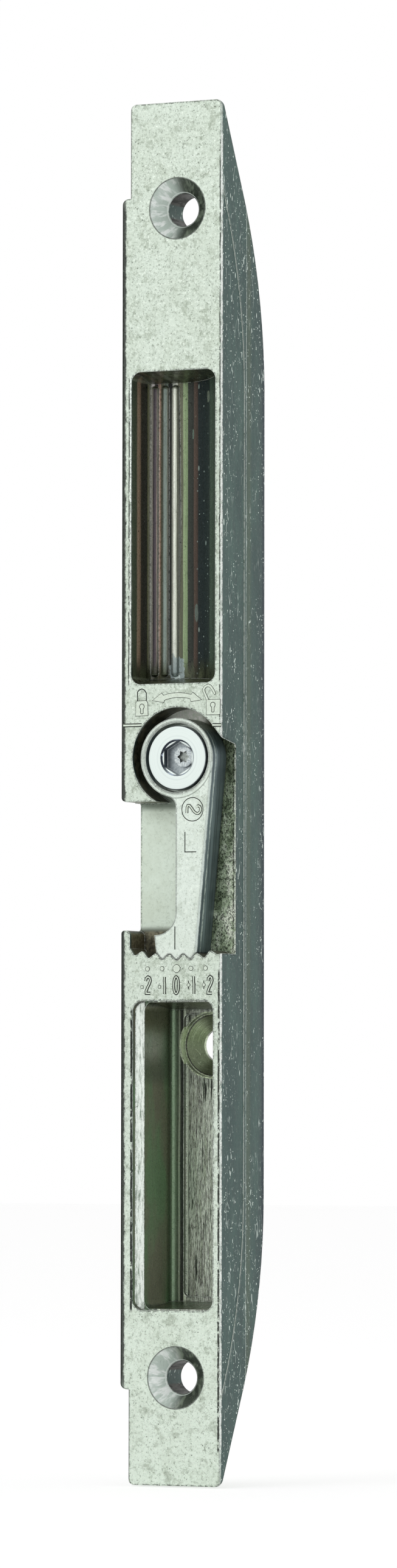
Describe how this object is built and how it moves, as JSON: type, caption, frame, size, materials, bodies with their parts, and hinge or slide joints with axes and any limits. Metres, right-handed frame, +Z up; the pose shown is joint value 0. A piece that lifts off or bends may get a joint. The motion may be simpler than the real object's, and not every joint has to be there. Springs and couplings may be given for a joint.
{
  "type": "adjustable door strike plate",
  "caption": "Door strike with a deadbolt pocket, a bolt pocket and a toothed lever locked by an eccentric, to set how tightly the door closes.",
  "frame": {"origin": "on the flat back, on the line of the two end screws, half way between them", "axes": "+Z up along the plate, +Y into the door frame (the front face looks along -Y), +X across the plate towards the straight flank"},
  "size_m": [0.0164, 0.0145, 0.2],
  "materials": {
    "plated_zinc": "zinc plated die casting, satin",
    "plated_zinc_lever": "zinc plated die casting, satin",
    "plated_steel": "turned and zinc plated, bright satin",
    "rivet_steel": "cold formed steel"
  },
  "bodies": {
    "plate": {"body": "plated_zinc", "rivet": "rivet_steel"},
    "eccentric": {"eccentric": "plated_steel"},
    "lever": {"lever": "plated_zinc_lever"}
  },
  "joints": [
    {"name": "eccentric_turn", "type": "hinge", "parent": "plate", "child": "eccentric", "pos_m": [0.00052, -0.0045, 0.00493], "axis": [0, 1, 0], "range_deg": [0, 90]},
    {"name": "lever_lift", "type": "slide", "parent": "plate", "child": "lever", "axis": [0.4384, 0, 0.8988], "range_m": [0, 0.000778]}
  ],
  "couplings": [
    {"joint": "eccentric_turn", "follows": "lever_lift", "rad_per_m": 2019}
  ]
}
